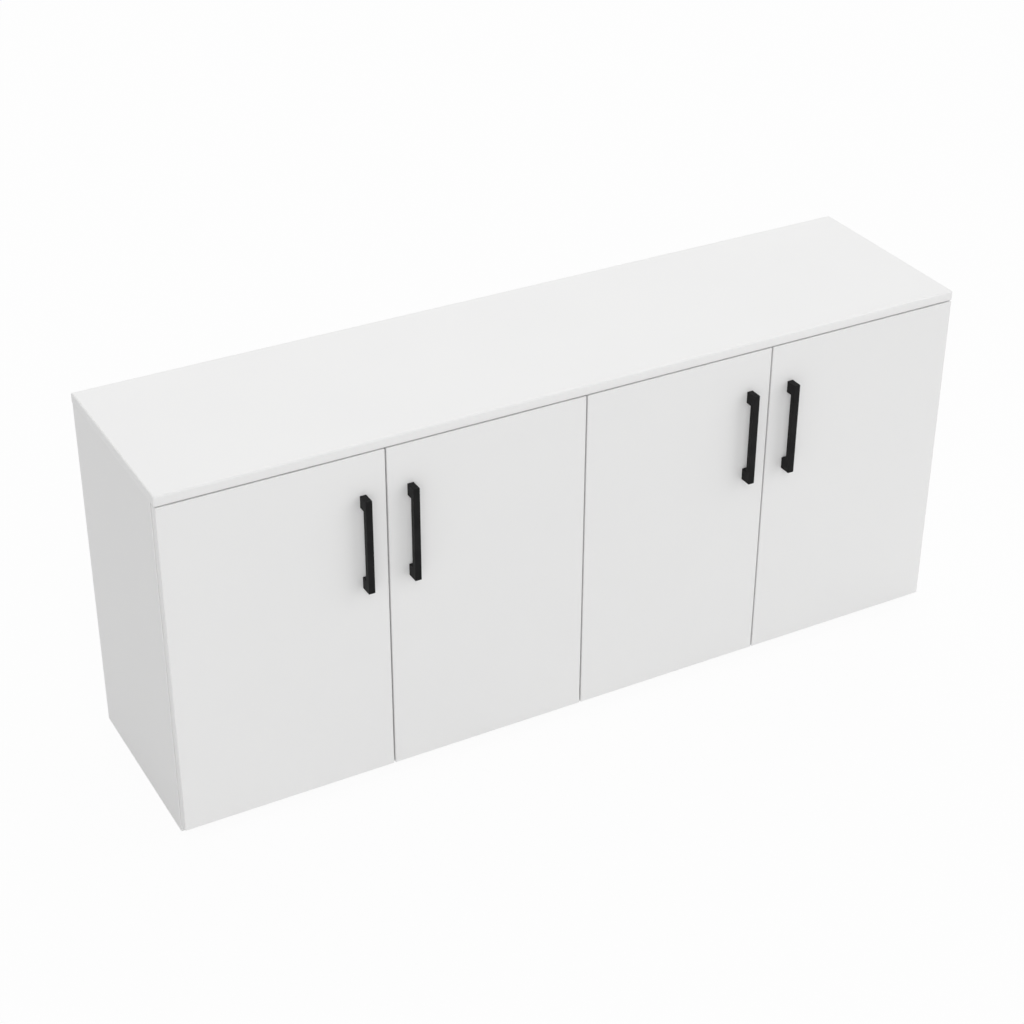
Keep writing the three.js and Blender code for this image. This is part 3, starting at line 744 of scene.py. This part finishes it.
for bay in ("left", "right"):
    add_board(f"{bay}_shelf", "carcass", Z, [FRONT_EDGE])
    for number in PINS_UNDER_SHELF:
        node = f"{bay}_shelf_pin_{number}"
        pin = cad_copy(node)
        soften(pin, PIN_SOFTNESS)
        finished(f"{node}_plated", pin, (NICKEL,), "carcass", "pin_steel", node)

# Concealed hinges
# Each hinge is a pressed cup let into the door, an arm on a screwed plate and two links between them, all
# nickel plated. Rivets hold the links in the arm, and cross-headed screws fix and adjust it.
DOORS = (1, 2, 3, 4)
LEFT_HUNG_DOORS = (1, 3)
HINGE_LEVELS = ("lower", "upper")
PRESSED_SOFTNESS = 0.00015
CUP_SCREW = {"Radius": 0.0036, "Rim": 0.0002, "Crown": 0.0007, "Recess": 0.0042}
CUP_SCREW_OFFSET = 0.006
CUP_SCREW_RISE = 0.024
PLATE_SCREW = {"Radius": 0.0040, "Rim": 0.0004, "Crown": 0.0011, "Recess": 0.0046}
PLATE_SCREW_FROM_BACK = 0.027
PLATE_SCREW_RISE = 0.015
PLATE_THICKNESS = 0.0025
ADJUSTER = {"Radius": 0.0034, "Rim": 0.0005, "Crown": 0.0008, "Recess": 0.0042}
ADJUSTERS_FROM_BACK = (0.008, 0.024)
WEB_FROM_NOSE = 0.009
RIVET = {"Radius": 0.0019, "Rim": 0.0002, "Crown": 0.0005}
RIVETS_FROM_NOSE_AND_BACK = ((0.019, 0.0425), (0.003, 0.061))
CHEEK_RISE = 0.0072


def hinge_bodies(door):
    """The body that each kind of hinge piece rides on."""
    return {
        "arm": "carcass",
        "outer_link": f"outer_links_{door}",
        "inner_link": f"inner_links_{door}",
        "cup": f"door_{door}",
    }


plate_screws = []
adjusters = []
rivets = []
for door in DOORS:
    hand = 1 if door in LEFT_HUNG_DOORS else -1
    into_bay = hand * X_AXIS
    cup_screws = []
    for hinge_level in HINGE_LEVELS:
        hinge = f"hinge_{door}_{hinge_level}"
        for kind, body in hinge_bodies(door).items():
            node = f"{hinge}_{kind}"
            solid = cad_copy(node)
            soften(solid, PRESSED_SOFTNESS)
            finished(f"{node}_plated", solid, (NICKEL,), body, "hinge_steel", node)
        cup_low, cup_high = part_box(f"{hinge}_cup")
        arm_low, arm_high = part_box(f"{hinge}_arm")
        height = (arm_low.z + arm_high.z) / 2
        seat, nose = (arm_low.x, arm_high.x) if hand > 0 else (arm_high.x, arm_low.x)
        plate = seat + hand * PLATE_THICKNESS
        web = nose - hand * WEB_FROM_NOSE
        ear = (cup_low.x + cup_high.x) / 2 + hand * CUP_SCREW_OFFSET
        for from_back in ADJUSTERS_FROM_BACK:
            adjusters.append(((web, arm_high.y - from_back, height), into_bay))
        for side in (1, -1):
            place = (plate, arm_high.y - PLATE_SCREW_FROM_BACK, height + side * PLATE_SCREW_RISE)
            plate_screws.append((place, into_bay))
            place = (ear, cup_high.y, height + side * CUP_SCREW_RISE)
            cup_screws.append((place, Y_AXIS))
            for from_nose, from_back in RIVETS_FROM_NOSE_AND_BACK:
                place = (nose - hand * from_nose, arm_high.y - from_back, height + side * CHEEK_RISE)
                rivets.append((place, side * Z_AXIS))
    body = f"door_{door}"
    set_heads(f"{body}_cup_screws", CROSS, CUP_SCREW, ZINC, cup_screws, body)
set_heads("hinge_plate_screws", CROSS, PLATE_SCREW, ZINC, plate_screws, "carcass")
set_heads("hinge_adjusters", CROSS, ADJUSTER, ZINC, adjusters, "carcass")
set_heads("hinge_rivets", DOME, RIVET, NICKEL, rivets, "carcass")

# Doors
# Four overlay doors of the same faced board, banded on all four edges, with a bore for each hinge cup in the
# back. A clear soft stop near the free lower corner meets the edge of the bottom board.
LOWER_EDGE = (Z, -1)
UPPER_EDGE = (Z, 1)
STOP = {"Radius": 0.0042, "Rim": 0.0006, "Crown": 0.0010}
STOP_FROM_EDGE = 0.025
STOP_RISE = 0.012
STOP_PALE = (0.78, 0.79, 0.78, 1.0)
STOP_SHADE = (0.66, 0.67, 0.66, 1.0)
STOP_ROUGHNESS = 0.20
CLEAR_STOP = moulded("clear_stop", STOP_PALE, STOP_SHADE, STOP_ROUGHNESS)

for door in DOORS:
    node = f"door_{door}"
    add_board(node, node, Y, [LEFT_EDGE, RIGHT_EDGE, LOWER_EDGE, UPPER_EDGE])
    low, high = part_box(node)
    near_free_edge = high.x - STOP_FROM_EDGE if door in LEFT_HUNG_DOORS else low.x + STOP_FROM_EDGE
    stop = ((near_free_edge, high.y, low.z + STOP_RISE), Y_AXIS)
    set_heads(f"{node}_stop", DOME, STOP, CLEAR_STOP, [stop], node)

# Bar pulls
# Each pull is a square steel bar with a leg at each end, welded, ground and powder coated matt black.
# Two screws from behind the door hold it.
PULL_SOFTNESS = 0.0006
PULL_SCREW = {"Radius": 0.0042, "Rim": 0.0008, "Crown": 0.0016, "Recess": 0.0046}
PULL_SCREW_FROM_END = 0.0115
COAT_BLACK = (0.0055, 0.0055, 0.0057, 1.0)
COAT_GREY = (0.0095, 0.0095, 0.0097, 1.0)
COAT_SPECULAR = 0.12
COAT_ROUGHNESS = 0.50
PATCH_SCALE = 45.0
PEEL_SCALE = 1500.0
PEEL_ROUGHENS = 0.10
PEEL_DEPTH = 0.00004
GRIP_SMOOTHS = 0.09


def powder_coat():
    """Matt black powder coat: a fine orange peel, a little smoother where fingers hold the bar."""
    low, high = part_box("handle_1")
    middle = (low.z + high.z) / 2
    half_length = (high.z - low.z) / 2
    finish = Finish("black_powder_coat", {"Specular IOR Level": COAT_SPECULAR})
    peel = finish.noise(PEEL_SCALE, roughness=0.55)
    patches = finish.noise(PATCH_SCALE, detail=3.0)
    height = finish.node("ShaderNodeSeparateXYZ", None, {"Vector": finish.place}, "Z")
    from_grip = abs(height - middle) * (1 / half_length)
    held = finish.ramp(from_grip, (0.1, 1), (0.7, 0))
    greyer = finish.ramp(patches, (0.3, 0), (0.65, 1))
    finish.drive("Base Color", finish.mix(COAT_BLACK, COAT_GREY, greyer))
    finish.drive("Roughness", COAT_ROUGHNESS + PEEL_ROUGHENS * peel - GRIP_SMOOTHS * held * patches)
    finish.bump(peel, PEEL_DEPTH, strength=0.6)
    return finish.material


BLACK_COAT = powder_coat()
for door in DOORS:
    node = f"handle_{door}"
    body = f"door_{door}"
    bar = cad_copy(node)
    soften(bar, PULL_SOFTNESS, steps=3)
    finished(f"{node}_bar", bar, (BLACK_COAT,), body, "black_pull", node)
    low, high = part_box(node)
    middle = (low.x + high.x) / 2
    door_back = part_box(body)[1].y
    ends = (low.z + PULL_SCREW_FROM_END, high.z - PULL_SCREW_FROM_END)
    places = [((middle, door_back, end), Y_AXIS) for end in ends]
    set_heads(f"{node}_screws", CROSS, PULL_SCREW, ZINC, places, body)
